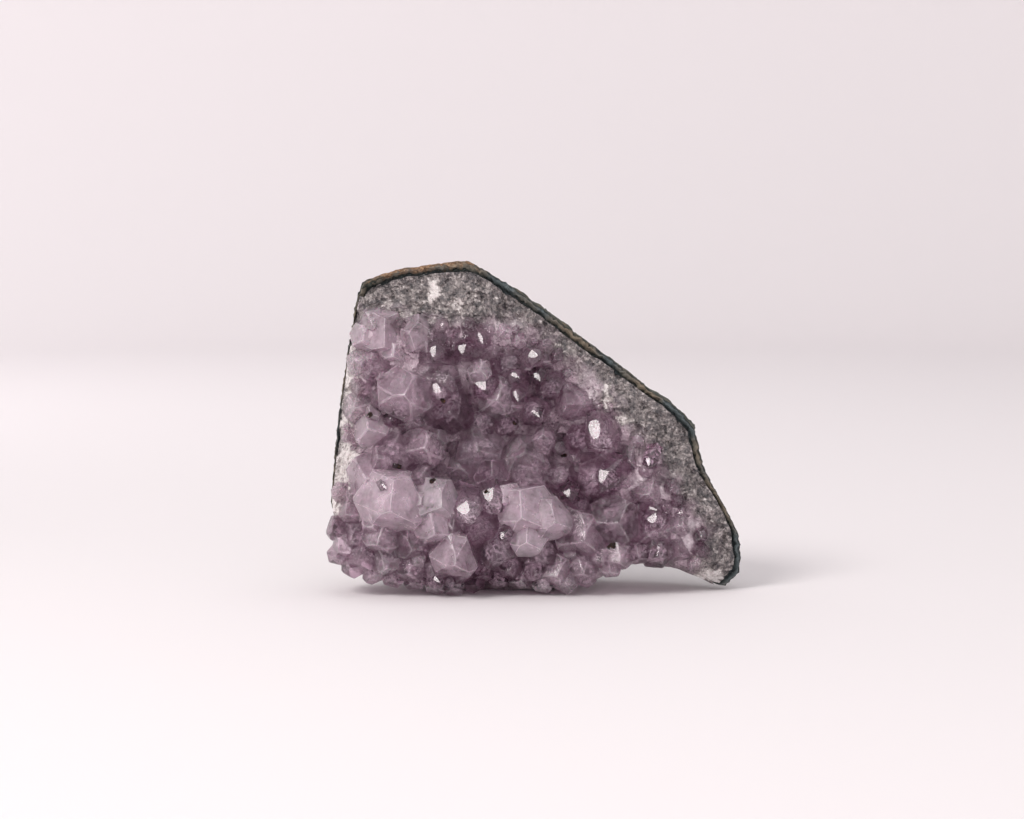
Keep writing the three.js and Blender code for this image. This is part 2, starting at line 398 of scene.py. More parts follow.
def lumpy(p):
    """Botryoidal bumps of the outer skin: rounded knobs a few millimetres across, over low swells."""
    swell = 0.9 * noise.noise(p * 0.07) + 0.5 * noise.noise(p * 0.17 + Vector((3, 8, 1)))
    bent = p + 0.9 * noise.noise_vector(p * 0.35)
    knob = 0.0
    for size, height in ((5.2, 1.0), (2.4, 0.55)):
        from_middle = noise.voronoi(bent / size)[0][0]
        knob += height * (0.45 - min(from_middle, 0.85) ** 1.5)
    fine = 0.42 * noise.fractal(p * 1.3, 1.0, 2.1, 4)
    return swell + knob + fine


def rust_at(p):
    """Rust lies along the top, with traces down the left edge and over the back."""
    top = smooth_step(63.0, 68.5, p.z) * smooth_step(-4.0, -14.0, p.x)
    left = 0.55 * smooth_step(-37.0, -41.0, p.x) * smooth_step(14.0, 30.0, p.z)
    return max(0.85 * top, left, 0.30)


def inner_rings(broken):
    """Rings of the rind's inside, out of sight behind the quartz, from its front edge to the middle."""
    rings = [[Vector((p.x, p.y + 1.0, p.z)) for p in broken[0]]]
    for t in (0.0, 0.35, 0.7):
        ring = []
        for i in range(SECTORS):
            spot = at_sector(i, SHELL + (REACH[i] - SHELL) * t, 0)
            ring.append(Vector((spot.x, max(back_of(spot.x, spot.z) - SHELL, broken[0][i].y + 2.0), spot.z)))
        rings.append(ring)
    return rings


EDGE_SHARE = 0.55  # share of the bumps that the broken edge gets
SET_IN = 0.55  # how far the outside is set in, so that its bumps rise to the outline, mm
RIND_LOWEST = 0.06  # of the rind's points above the floor, mm


def rough_up(rings, first, rim):
    """Pushes the rind's visible rings out by its bumps: forward on the broken edge, which ends at the
    rim's ring, outwards on the sides, and back on the back."""
    for r in range(first, len(rings)):
        share = 1.0 if r > rim + 1 else EDGE_SHARE
        t = min(max((r - rim) / SIDE_RINGS, 0.0), 1.0)
        for i in range(SECTORS):
            p = rings[r][i]
            radial = Vector((p.x - HUB[0], 0, p.z - HUB[1])).normalized()
            normal = (radial * (1 - 0.75 * t) + Vector((0, 1, 0)) * t).normalized()
            if r <= rim:
                normal = Vector((0, -1, 0))
            push = lumpy(p) * share
            if r > rim:
                push -= SET_IN
            rings[r][i] = p + normal * push
            if rings[r][i].z < RIND_LOWEST:
                rings[r][i].z = RIND_LOWEST


def make_rind():
    """The thin skin: layered where it is broken, knobbly outside, closed behind the quartz."""
    broken = broken_rings()
    inner = inner_rings(broken)
    rings = inner[::-1] + broken + outer_rings(broken[-1])
    rough_up(rings, len(inner), len(inner) + len(broken) - 1)
    front = Vector((HUB[0], back_of(*HUB) - SHELL, HUB[1]))
    bump = lumpy(Vector((HUB[0], WALL_BACK, HUB[1])))
    back = Vector((HUB[0], back_of(*HUB) + bump - SET_IN, HUB[1]))
    mesh = closed_mesh("rind_skin", rings, front, back)
    layer = [max(1.0 - max(r - len(inner), 0) / (len(broken) - 1), 0.0) for r in range(len(rings))]
    set_points(mesh, "layer", [0.0] + [value for value in layer for i in range(SECTORS)] + [0.0])
    set_points(mesh, "rust", [0.0] + [rust_at(p) for ring in rings for p in ring] + [0.0])
    face_out(mesh)
    piece = add_piece("rind_skin", mesh)
    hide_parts("rind")
    return piece


FRONT_RINGS = 96
QUARTZ_SIDE_RINGS = 8
UNDER_RIND = 0.15  # how far the quartz reaches in under the rind, mm
QUARTZ_LOWEST = 0.04  # of the quartz's points above the floor, mm
PERIMETER = 290.0  # of the wall's outline, mm


def spot_strength(p, spot):
    """How white the quartz is at a point because of one crushed spot, ragged at its edge."""
    x, z, half_x, half_z, strength = spot
    if abs(p.x - x) > 3 * half_x or abs(p.z - z) > 3 * half_z:
        return 0.0
    away = math.hypot((p.x - x) / half_x, (p.z - z) / half_z)
    return strength * smooth_step(1.5, 0.6, away + 0.9 * noise.noise(p * 0.8))


def quartz_front_ring(t):
    """A ring of the broken front, from the hub, 0, to the wall's edge, 1: bare quartz outside the
    druse, and the bed that the crystals stand on inside it."""
    ring = []
    for i in range(SECTORS):
        edge = REACH[i] - (rind_width(i) - UNDER_RIND) * (1 - FOOT[i]) - 0.25 * FOOT[i]
        spot = at_sector(i, REACH[i] - edge * t, 0)
        inside = edge_distance(DRUSE_EDGE, spot.x, spot.z) if t > 0.35 else 9.0
        rise = smooth_step(-2.5, 3.0, inside + 1.2 * noise.noise(spot * 0.3))
        near_skin = smooth_step(0.0, 9.0, edge * (1 - t))
        bare = rim_front(i) * (1 - near_skin) + (WALL_FRONT - 1.6) * near_skin
        bare += 1.3 * noise.noise(spot * 0.13 + Vector((5, 2, 0)))
        low_edge = 1.0 - smooth_step(0.0, 7.0, spot.z)
        floor = druse_floor(spot.x, spot.z) + 3.0 * low_edge * (spot.x < 18)
        y = bare * (1 - rise) + floor * rise
        p = Vector((spot.x, y, spot.z))
        y += 0.8 * noise.noise(p * 0.45) + grain(p, 2.6, 0.8) + grain(p + Vector((31, 7, 5)), 1.2, 0.5)
        y += 0.22 * noise.fractal(p * 2.2, 1.0, 2.0, 2)
        ring.append(Vector((spot.x, y, spot.z)))
    return ring


def quartz_side_ring(t, front_edge):
    """A ring of the sides, from the front edge, 0, to the back, 1: inside the rind, and bare and
    grainy under the foot."""
    ring = []
    for i in range(SECTORS):
        behind = smooth_step(0.0, 0.25, t)
        inset = (rind_width(i) - UNDER_RIND) * (1 - behind) + (SHELL - 0.6) * behind
        inset = inset * (1 - FOOT[i]) + 0.2 * FOOT[i]
        spot = at_sector(i, inset, 0)
        start = front_edge[i].y
        y = start + (back_of(spot.x, spot.z) - SHELL + 0.6 - start) * t
        p = Vector((spot.x, y, spot.z))
        out = at_sector(i, inset - (grain(p, 2.0, 0.5) if FOOT[i] else 0.0), y)
        out.z = max(out.z, QUARTZ_LOWEST)
        ring.append(out)
    return ring


def mark_quartz(mesh, rings):
    """Writes where the quartz lies under the druse and where it is crushed white, and its place along
    the outline and in from it, which its columns follow."""
    druse, milk, along, deep = [1.0], [0.0], [0.0], [0.0]
    for ring in rings:
        for i, p in enumerate(ring):
            inside = edge_distance(DRUSE_EDGE, p.x, p.z)
            druse.append(smooth_step(-4.5, 3.0, inside + 3.0 * noise.noise(p * 0.35)))
            milk.append(max(spot_strength(p, spot) for spot in MILKY_SPOTS))
            along.append(i / SECTORS * PERIMETER)
            deep.append(REACH[i] - math.hypot(p.x - HUB[0], p.z - HUB[1]))
    for name, values in (("druse", druse), ("milk", milk), ("along", along), ("deep", deep)):
        set_points(mesh, name, values + [0.0])


def make_quartz():
    """The massive quartz: its broken front, the foot's underside, and a plain back inside the rind."""
    rings = [quartz_front_ring(k / FRONT_RINGS) for k in range(1, FRONT_RINGS + 1)]
    front_edge = rings[-1]
    rings += [quartz_side_ring(k / QUARTZ_SIDE_RINGS, front_edge) for k in range(1, QUARTZ_SIDE_RINGS + 1)]
    for t in (0.3, 0.65):
        rings.append([at_sector(i, SHELL + (REACH[i] - SHELL) * t, 0) for i in range(SECTORS)])
        for p in rings[-1]:
            p.y = back_of(p.x, p.z) - SHELL + 0.4
    front = Vector((HUB[0], druse_floor(*HUB), HUB[1]))
    back = Vector((HUB[0], back_of(*HUB) - SHELL + 0.4, HUB[1]))
    mesh = closed_mesh("quartz_wall", rings, front, back)
    mark_quartz(mesh, rings)
    face_out(mesh)
    piece = add_piece("quartz_wall", mesh)
    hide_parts("quartz_base")
    return piece


# ---------------------------------------------------------------- crystals, mm

# The large points: middle of the crown across and up, width across the flats, lean across and up
# for each unit of length, height above the root layer, and how frosted it is. That frost is partly
# real frost and partly painted light: it is set high on most proud points of the lower left and on
# the upper left, which the key lights, so that they come out paler.
LARGE_POINTS = [
    # upper left, on the flank of the hollow
    (-31.3, 53.0, 8.6, 0.10, -0.35, 6.5, 0.9), (-36.0, 54.0, 6.0, -0.10, -0.10, 6.0, 0.9),
    (-24.9, 51.8, 7.0, 0.05, -0.60, 7.5, 0.7), (-20.2, 49.6, 8.5, 0.05, -0.40, 8.0, 0.1),
    (-14.6, 50.8, 7.5, -0.25, -0.35, 9.0, 0.2), (-33.8, 48.2, 6.5, -0.10, 0.05, 8.0, 0.6),
    (-37.8, 49.6, 5.0, -0.25, 0.10, 6.5, 0.5), (-37.0, 43.8, 5.5, -0.30, 0.05, 7.0, 0.3),
    (-26.8, 43.1, 10.4, 0.05, 0.02, 11.0, 0.45), (-37.6, 39.8, 7.0, -0.25, 0.05, 8.0, 0.5),
    (-34.9, 35.4, 8.0, -0.10, 0.15, 10.0, 0.9),
    # middle of the hollow
    (-17.4, 38.6, 10.5, 0.10, -0.05, 8.0, 0.0), (-18.6, 44.6, 7.5, 0.10, -0.20, 8.0, 0.0),
    (-7.3, 41.6, 9.2, -0.05, -0.05, 10.5, 0.3), (-11.0, 48.0, 5.2, 0.05, 0.20, 11.0, 0.5),
    (-5.2, 48.6, 6.8, -0.05, -0.15, 8.0, 0.1), (1.6, 49.2, 6.6, -0.10, -0.25, 8.0, 0.5),
    (3.0, 43.6, 5.5, -0.20, -0.10, 8.5, 0.2), (7.6, 40.4, 8.8, -0.25, -0.10, 9.5, 0.5),
    (-0.2, 39.2, 6.4, -0.10, 0.05, 8.0, 0.1), (2.2, 34.4, 5.4, 0.00, 0.45, 10.0, 0.3),
    (-1.7, 30.6, 10.2, 0.00, 0.40, 12.0, 0.5), (-11.4, 30.6, 9.8, 0.00, 0.10, 11.5, 0.1),
    (9.6, 32.6, 7.4, -0.15, 0.05, 8.0, 0.0), (-23.0, 31.4, 9.0, 0.10, 0.10, 11.5, 0.6),
    (-29.4, 31.6, 7.8, -0.05, 0.15, 9.0, 0.1), (-11.0, 36.6, 5.6, 0.00, 0.10, 7.5, 0.0),
    # proud crystals of the lower left
    (-35.0, 25.4, 11.4, -0.20, 0.15, 15.0, 0.9), (-29.6, 19.2, 12.8, -0.02, -0.12, 17.0, 1.0),
    (-18.6, 19.6, 10.8, 0.22, 0.05, 15.0, 0.8), (-20.4, 14.0, 9.8, 0.05, -0.25, 14.5, 0.7),
    (-23.4, 25.4, 6.6, 0.05, 0.20, 10.5, 0.3), (-39.8, 17.6, 7.5, -0.35, -0.05, 9.5, 0.55),
    (-25.2, 10.6, 8.6, -0.05, -0.20, 12.0, 0.4), (-16.2, 7.8, 9.2, 0.05, -0.22, 15.5, 0.8),
    (-32.8, 11.6, 8.2, -0.15, -0.20, 11.0, 0.5), (-38.4, 11.8, 6.6, -0.30, -0.15, 9.0, 0.2),
    # lower middle
    (-8.6, 25.6, 7.0, 0.05, 0.10, 12.0, 0.3), (-1.0, 24.2, 8.2, 0.05, 0.10, 11.0, 0.2),
    (-12.2, 19.6, 4.4, 0.05, 0.00, 13.0, 0.0), (-10.8, 14.8, 8.0, 0.05, 0.00, 12.5, 0.1),
    (-2.4, 17.6, 13.0, -0.05, 0.05, 16.5, 1.0), (5.0, 16.6, 8.4, 0.18, 0.02, 15.0, 0.8),
    (10.4, 12.4, 10.0, 0.08, -0.12, 12.0, 0.4), (-7.4, 8.6, 8.2, 0.00, -0.20, 11.5, 0.1),
    (1.6, 8.6, 7.8, 0.05, -0.20, 11.0, 0.1), (6.0, 24.8, 6.4, 0.00, 0.10, 9.0, 0.1),
    # right-hand end
    (13.4, 24.4, 8.0, 0.00, 0.05, 10.5, 0.2), (18.4, 16.2, 10.0, 0.10, 0.05, 11.5, 0.3),
    (15.6, 31.0, 7.4, -0.10, 0.10, 8.5, 0.2), (20.6, 28.6, 6.8, 0.00, 0.05, 7.0, 0.5),
    (24.6, 21.4, 7.6, 0.05, 0.10, 8.0, 0.4), (25.4, 14.0, 7.6, 0.05, 0.00, 9.5, 0.2),
    (26.4, 8.6, 6.6, 0.10, -0.15, 8.0, 0.2), (31.6, 14.6, 6.6, 0.20, 0.05, 7.0, 0.2),
    (31.2, 8.4, 5.8, 0.20, -0.10, 6.5, 0.3), (18.2, 7.6, 5.6, 0.05, -0.30, 9.5, 0.55),
    (22.4, 8.2, 5.0, 0.05, -0.30, 8.0, 0.2),
    # lowest row, which leans down to the floor
    (-41.0, 9.4, 5.6, -0.35, -0.20, 8.0, 0.3), (-36.8, 7.6, 6.4, -0.20, -0.18, 9.5, 0.2),
    (-31.4, 6.4, 6.2, -0.08, -0.20, 10.0, 0.3), (-26.2, 5.4, 6.4, -0.05, -0.20, 10.5, 0.3),
    (-20.6, 5.0, 5.6, 0.00, -0.20, 9.5, 0.1), (-15.2, 4.4, 5.8, 0.05, -0.22, 9.5, 0.2),
    (-10.2, 5.0, 5.6, 0.05, -0.20, 9.0, 0.0), (-4.8, 5.8, 6.2, 0.00, -0.18, 9.5, 0.0),
    (0.4, 5.4, 6.0, 0.00, -0.20, 9.5, 0.1), (5.0, 4.8, 6.6, 0.05, -0.18, 10.0, 0.5),
    (10.8, 5.0, 5.8, 0.10, -0.28, 9.5, 0.2), (14.6, 7.6, 5.6, 0.10, -0.25, 9.0, 0.2),
    # toes of the lowest row, which make the lower outline
    (-41.6, 8.6, 4.6, -0.15, 0.00, 6.5, 0.3), (-38.4, 6.4, 4.8, -0.10, -0.02, 7.5, 0.2),
    (-34.0, 4.8, 4.6, -0.10, -0.03, 7.5, 0.3), (-29.6, 4.0, 4.6, 0.00, -0.04, 7.5, 0.1),
    (-25.0, 3.1, 4.4, 0.00, -0.04, 7.0, 0.3), (-20.6, 2.5, 4.4, 0.05, -0.05, 7.5, 0.4),
    (-16.6, 2.1, 4.6, 0.00, -0.05, 8.0, 0.1), (-12.2, 2.7, 4.2, 0.05, -0.03, 7.0, 0.2),
    (-7.4, 3.8, 4.6, 0.00, 0.00, 7.5, 0.1), (-2.6, 3.4, 4.8, 0.05, -0.02, 7.5, 0.3),
    (2.2, 2.5, 4.4, 0.00, -0.04, 7.0, 0.1), (7.0, 2.9, 4.8, 0.00, -0.05, 7.5, 0.4),
    (11.2, 4.0, 4.6, 0.05, -0.06, 7.0, 0.2), (16.4, 5.4, 4.6, 0.05, -0.20, 8.0, 0.6),
    # left edge
    (-42.6, 13.6, 5.4, -0.35, -0.05, 6.5, 0.4), (-41.2, 21.6, 4.4, -0.20, 0.10, 6.0, 0.4),
]

# Small mirror-smooth points with one end face turned to the softbox: middle across and up, width,
# height above the root layer, and the turn of that face about the direction of the light.
GLINT_POINTS = [
    (-12.6, 16.8, 7.2, 17.0, 170), (-8.6, 18.4, 6.6, 17.5, 150), (-18.8, 42.4, 5.0, 12.0, 180),
    (-9.8, 42.6, 5.6, 13.5, 160), (14.2, 31.2, 8.0, 12.0, 150), (26.6, 14.9, 5.2, 12.0, 170),
    (-14.9, 50.6, 4.4, 9.0, 140), (-10.4, 53.2, 4.0, 7.5, 160), (1.8, 50.4, 4.2, 8.5, 200),
    (1.7, 45.3, 4.0, 11.0, 170), (-20.6, 50.0, 4.4, 9.0, 150), (-19.3, 3.4, 3.6, 13.0, 190),
    (8.2, 20.4, 4.4, 14.0, 160), (-6.6, 12.6, 3.6, 16.0, 130), (27.0, 18.2, 3.8, 10.0, 200),
    (-3.2, 41.0, 4.0, 12.0, 150), (24.4, 27.4, 3.6, 8.0, 140), (13.9, 22.4, 6.0, 13.0, 120),
    (-30.2, 23.4, 3.4, 17.0, 180), (-2.8, 46.0, 3.6, 10.0, 190), (1.6, 37.6, 3.8, 11.5, 180),
]
TO_LIGHT = Vector((-0.56, -0.49, 0.66)).normalized()  # from the crystals to the softbox
TO_EYE = Vector((0.0, -0.996, 0.087))  # straight to the front, a little upwards
GLINT_HEIGHT = 0.72  # share of the listed height that these points keep
GLINT_ROOT = 1.5  # how deep their foot sits in the root layer, mm

WIDEN = 1.08  # crystals are grown this much wider than listed, so that they close up
SIDE_TAPER = math.radians(1.8)  # how much the prism's faces lean in towards the crown
GLOSSY_SHARE = 0.06  # share of the faces that are mirror smooth
MIRROR = -0.5  # frost of a mirror-smooth point
SHARP = math.radians(32)  # steeper edges than this keep a crisp line
# Worn edges are paled partly as wear and partly as a painted highlight along the crystals' rims.
WORN_AND_HIGHLIT = 1  # face index that marks a worn edge until the crystals are joined
VEIL_HALF = 0.05  # half the thickness of a healed crack, mm
VEIL_COVER = 0.1  # least thickness of crystal over a healed crack, mm
LINE_OUT = Vector((0.137, -0.951, 0.219)).normalized()  # along no edge or face of the crystals
RHOMB_SLOPE = math.radians(51.8)  # a quartz termination face against the plane across the axis


def cut_normal(turn, outwards, upwards):
    """Direction of a crystal face: its turn about the axis, and its parts outwards and along the axis."""
    return Vector((math.cos(turn) * outwards, math.sin(turn) * outwards, upwards))


def crystal_solid(width, length, rng, mirror):
    """One quartz point along +Z: a six-sided prism under three large and three small end faces."""
    half = width / 2
    bm = bmesh.new()
    bmesh.ops.create_cube(bm, size=2.0)
    bmesh.ops.scale(bm, vec=(width * 1.6, width * 1.6, length / 2 + width), verts=bm.verts)
    bmesh.ops.translate(bm, vec=(0, 0, length / 2 + width), verts=bm.verts)
    cuts = []
    for k in range(6):
        turn = k * math.pi / 3
        side = half * (1 + rng.uniform(-0.14, 0.14))
        normal = cut_normal(turn, math.cos(SIDE_TAPER), math.sin(SIDE_TAPER))
        cuts.append((Vector((math.cos(turn), math.sin(turn), 0)) * side, normal))
    for k in range(6):
        normal = cut_normal(k * math.pi / 3, math.sin(RHOMB_SLOPE), math.cos(RHOMB_SLOPE))
        small = half * rng.uniform(0.10, 0.42) if k % 2 else half * rng.uniform(-0.02, 0.10)
        small *= not mirror
        cuts.append((Vector((0, 0, length)) + normal * small, normal))
    for point, normal in cuts:
        geom = bm.verts[:] + bm.edges[:] + bm.faces[:]
        cut = bmesh.ops.bisect_plane(bm, geom=geom, plane_co=point, plane_no=normal, clear_outer=True)
        rim = [e for e in cut["geom_cut"] if isinstance(e, bmesh.types.BMEdge)]
        if rim:
            bmesh.ops.contextual_create(bm, geom=rim)
    bmesh.ops.remove_doubles(bm, verts=bm.verts, dist=width * 0.004)
    above_root = [e for e in bm.edges if max(v.co.z for v in e.verts) > 0.5]
    wear = 0.06 if mirror else min(0.034 * width, 0.3)
    bmesh.ops.bevel(bm, geom=above_root, offset=wear, offset_type="OFFSET", segments=2 if width > 4 else 1,
                    profile=0.5, affect="EDGES", clamp_overlap=True, material=WORN_AND_HIGHLIT)
    bmesh.ops.triangulate(bm, faces=bm.faces)
    if width > 3.6 and not mirror:
        roughen(bm, Vector([rng.uniform(0, 50) for k in range(3)]))
    return bm


def roughen(bm, shift):
    """Growth faces are never quite flat: they swell, dip and step by a tenth of a millimetre."""
    for longest in (5.0, 2.6, 1.6):
        long_edges = [e for e in bm.edges if e.calc_length() > longest]
        bmesh.ops.subdivide_edges(bm, edges=long_edges, cuts=1)
        bmesh.ops.triangulate(bm, faces=bm.faces)
    bm.normal_update()
    for v in bm.verts:
        if v.co.z > 0.5:
            p = v.co + shift
            v.co += v.normal * (0.10 * noise.noise(p * 0.35) + 0.06 * noise.noise(p * 0.9))


def crystal_place(x, z, lean_x, lean_z, height, root, spin):
    """Matrix that stands a crystal on the root layer with its crown at (x, z)."""
    aim = Vector((lean_x, -1.0, lean_z)).normalized()
    turn = Vector((0, 0, 1)).rotation_difference(aim) @ Quaternion((0, 0, 1), spin)
    foot = Vector((x - lean_x * height, druse_floor(x, z), z - lean_z * height)) - aim * root
    return Matrix.Translation(foot) @ turn.to_matrix().to_4x4()


def glint_place(x, z, height, root, turn):
    """Like crystal_place, with one end face where it throws the softbox's light to the front."""
    face = (TO_LIGHT + TO_EYE).normalized()
    across = face.orthogonal().normalized()
    across.rotate(Quaternion(face, math.radians(turn)))
    aim = face.copy()
    aim.rotate(Quaternion(across, RHOMB_SLOPE))
    side = (face - aim * face.dot(aim)).normalized()
    turned = Matrix((side, aim.cross(side), aim)).transposed().to_4x4()
    foot = Vector((x, druse_floor(x, z) - height, z)) - aim * (height + root)
    return Matrix.Translation(foot) @ turned


TRIES = 12  # places tried for each small point
DRUSE_ACROSS = (-45, 37)  # span of the druse, mm
DRUSE_UP = (0.6, 60)


def small_points(rng, taken, count, widths, heights, crowding):
    """Points in the spaces between those that are there, smaller towards the druse's rim."""
    points = []
    for _ in range(TRIES * count):
        x = rng.uniform(*DRUSE_ACROSS)
        z = rng.uniform(*DRUSE_UP)
        inside = edge_distance(DRUSE_EDGE, x, z)
        width = rng.uniform(*widths)
        height = rng.uniform(*heights)
        lean = (rng.uniform(-0.3, 0.3), rng.uniform(-0.3, 0.3) - 0.15 * (z < 6))
        frost = rng.uniform(0, 0.6)
        if inside < -0.4 or edge_distance(WALL_EDGE, x, z) < 1.2:
            continue
        rim = 1 - smooth_step(0.0, 9.0, border_distance(x, z))
        width *= 1 - 0.5 * rim
        if any(math.hypot(x - p[0], z - p[1]) < crowding * (width + p[2]) for p in taken):
            continue
        points.append((x, z, width, *lean, height, frost))
        taken.append(points[-1])
        if len(points) == count:
            break
    return points


def side_points(rng, points):
    """Smaller points that grew against the flanks of the large ones, in nearly the same direction."""
    grown = []
    for x, z, width, lean_x, lean_z, height, frost in points:
        for k in range(rng.choice((0, 1, 1, 2)) if width > 6.4 else 0):
            turn = rng.uniform(0, 2 * math.pi)
            share = rng.uniform(0.34, 0.6)
            away = width * rng.uniform(0.34, 0.5)
            grown.append((
                x + away * math.cos(turn), max(z + away * math.sin(turn), 1.5), width * share,
                lean_x + rng.uniform(-0.06, 0.06), lean_z + rng.uniform(-0.06, 0.06),
                height * rng.uniform(0.62, 0.88), frost * rng.uniform(0.5, 1.2)))
    return grown


def plan_druse(rng):
    """Where every point stands: (place, width, length, frost)."""
    points = list(LARGE_POINTS) + side_points(rng, LARGE_POINTS)
    points += small_points(rng, points, 150, (4.6, 6.8), (4.0, 7.5), 0.38)
    points += small_points(rng, points, 380, (2.2, 3.8), (2.0, 4.5), 0.42)
    plans = []
    for x, z, width, lean_x, lean_z, height, frost in points:
        root = 4.0 if width > 4 else 2.5
        height *= 0.30 + 0.58 * smooth_step(0.0, 12.0, border_distance(x, z))
        place = crystal_place(x, z, lean_x, lean_z, height, root, rng.uniform(0, math.pi / 3))
        plans.append((place, WIDEN * width, height + root, frost))
    for x, z, width, height, turn in GLINT_POINTS:
        height *= GLINT_HEIGHT
        plans.append((glint_place(x, z, height, GLINT_ROOT, turn), width, height + GLINT_ROOT, MIRROR))
    return plans


def grow_point(plan, rng, stand_ins):
    """One crystal in its place, which carries its frost and a tone of its own on its faces."""
    place, width, length, frost = plan
    bm = crystal_solid(width, length, rng, frost == MIRROR)
    bm.transform(place)
    mesh = bpy.data.meshes.new("point")
    for stand_in in stand_ins:
        mesh.materials.append(stand_in)
    turn_out(bm)
    bm.to_mesh(mesh)
    bm.free()
    for name, value in (("frost", frost), ("tone", rng.random())):
        attribute = mesh.attributes.new(name, "FLOAT", "FACE")
        attribute.data.foreach_set("value", [value] * len(mesh.polygons))
    return bpy.data.objects.new("point", mesh)


def join_points(solids):
    """Joins the crystals into one mesh, as they grew together."""
    group = bpy.data.collections.new("growing")
    for solid in solids[1:]:
        group.objects.link(solid)
    first = bpy.data.objects.new("growing_first", solids[0].data.copy())
    bpy.context.scene.collection.objects.link(first)
    bpy.context.scene.collection.children.link(group)
    join = first.modifiers.new("join", "BOOLEAN")
    join.operation = "UNION"
    join.operand_type = "COLLECTION"
    join.collection = group
    join.solver = "MANIFOLD"
    dg = bpy.context.evaluated_depsgraph_get()
    mesh = bpy.data.meshes.new_from_object(first.evaluated_get(dg))
    mesh.name = "amethyst_druse"
    for solid in [first] + solids:
        bpy.data.objects.remove(solid)
    bpy.data.collections.remove(group)
    return mesh


def make_druse():
    """The druse of intergrown points, and where its crystals stand: (place, width, length)."""
    rng = random.Random(SEED)
    stand_ins = [bpy.data.materials.new("face"), bpy.data.materials.new("edge")]
    plans = plan_druse(rng)
    mesh = join_points([grow_point(plan, rng, stand_ins) for plan in plans])
    bm = bmesh.new()
    bm.from_mesh(mesh)
    keep_largest(bm)
    for v in bm.verts:
        v.co = clamp(v.co) * MM
    bm.to_mesh(mesh)
    bm.free()
    mesh.shade_smooth()
    mesh.set_sharp_from_angle(angle=SHARP)
    mark_faces(mesh)
    for stand_in in stand_ins:
        bpy.data.materials.remove(stand_in)
    mesh.materials.clear()
    piece = add_piece("amethyst_druse", mesh)
    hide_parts("amethyst_crystals")
    return piece, [plan[:3] for plan in plans]


def add_blob(bm, place, size, seed, detail):
    """A closed lump with an uneven surface, of the given half axes."""
    made = bmesh.ops.create_icosphere(bm, subdivisions=detail, radius=1.0)["verts"]
    shift = Vector((seed * 3.7, seed * 1.3, seed * 5.1))
    for v in made:
        p = v.co.copy()
        edge = 1.0 + 0.55 * noise.noise(p * 1.6 + shift)
        bend = 0.5 * noise.noise(Vector((p.x, p.y, 0)) * 1.1 + shift) * min(size.x, size.y)
        v.co = place @ Vector((p.x * size.x * edge, p.y * size.y * edge, p.z * size.z + bend))
    return made


def make_veils(crystals, druse):
    """Healed cracks inside the larger crystals: thin, curved, half-clear white sheets. Those that would
    come out of the crystals are left away."""
    rng = random.Random(SEED + 1)
    surface = surface_of(druse)
    bm = bmesh.new()
    for crystal, width, length in crystals:
        for k in range(rng.choice((4, 5, 6)) if width > 4.6 else 0):
            reach = width * rng.uniform(0.16, 0.30)
            up = length - width * rng.uniform(0.45, 0.95)
            turn = rng.uniform(0, 2 * math.pi)
            away = width * rng.uniform(0, 0.14)
            place = crystal @ Matrix.Translation((away * math.cos(turn), away * math.sin(turn), up))
            place @= Matrix.Rotation(rng.uniform(0, 2 * math.pi), 4, "Z")
            place @= Matrix.Rotation(rng.uniform(0.3, 1.4), 4, "X")
            size = Vector((reach, reach * rng.uniform(0.5, 0.9), VEIL_HALF))
            veil = add_blob(bm, place, size, rng.uniform(0, 99), 2)
            if not all(is_sealed(surface, v.co * MM) for v in veil):
                bmesh.ops.delete(bm, geom=veil, context="VERTS")
    for v in bm.verts:
        v.co = v.co * MM
    mesh = bpy.data.meshes.new("healed_cracks")
    bm.to_mesh(mesh)
    bm.free()
    return add_piece("healed_cracks", mesh)


def is_sealed(surface, point):
    """Whether a point lies well inside the crystals: a line out of it meets the surface an odd number
    of times."""
    if surface.find_nearest(point)[3] < VEIL_COVER * MM:
        return False
    crossings = 0
    hit = surface.ray_cast(point, LINE_OUT)[0]
    while hit is not None:
        crossings += 1
        hit = surface.ray_cast(hit + LINE_OUT * 1e-4 * MM, LINE_OUT)[0]
    return crossings % 2 == 1


# Iron-stained grains caught between the crystals: across, up, half size, mm.
IRON_GRAINS = [
    (-34.5, 38.6, 0.55), (-28.5, 27.6, 0.7), (-21.0, 24.6, 0.55), (16.6, 10.8, 0.7), (-19.0, 41.6, 0.5),
    (-4.0, 36.0, 0.45), (6.6, 28.6, 0.5), (-9.6, 22.4, 0.4),
]


LUMPS = 4  # in each grain


def front_of(surfaces, x, z):
    """The first point that a line from the front meets at (x, z), mm."""
    hits = [surface.ray_cast(Vector((x, 2 * LOW.y, z)) * MM, Vector((0, 1, 0)))[0] for surface in surfaces]
    return min((hit for hit in hits if hit is not None), key=lambda hit: hit.y) / MM


def make_iron_grains(grown):
    """Dark grains that sit on whatever faces forward at their places: crystals, or quartz between them."""
    surfaces = [surface_of(piece) for piece in grown]
    bm = bmesh.new()
    for n, (x, z, size) in enumerate(IRON_GRAINS):
        hit = front_of(surfaces, x, z)
        for k in range(LUMPS):
            jump = noise.cell_vector(Vector((n * 3.1, k * 5.3, 1.7))) - Vector((0.5, 0.5, 0.5))
            at = hit + Vector((0, 0.45 * size, 0)) + jump * size * 1.2
            half = size * (1.0 - 0.18 * k)
            add_blob(bm, Matrix.Translation(at), Vector((half, half, half)), n * 4.1 + k, 3)
    for v in bm.verts:
        v.co = clamp(v.co) * MM
    mesh = bpy.data.meshes.new("iron_grains")
    bm.to_mesh(mesh)
    bm.free()
    return add_piece("iron_grains", mesh)


def face_values(mesh, name):
    """One stored value for each face."""
    values = np.empty(len(mesh.polygons), dtype=np.float32)
    mesh.attributes[name].data.foreach_get("value", values)
    return values


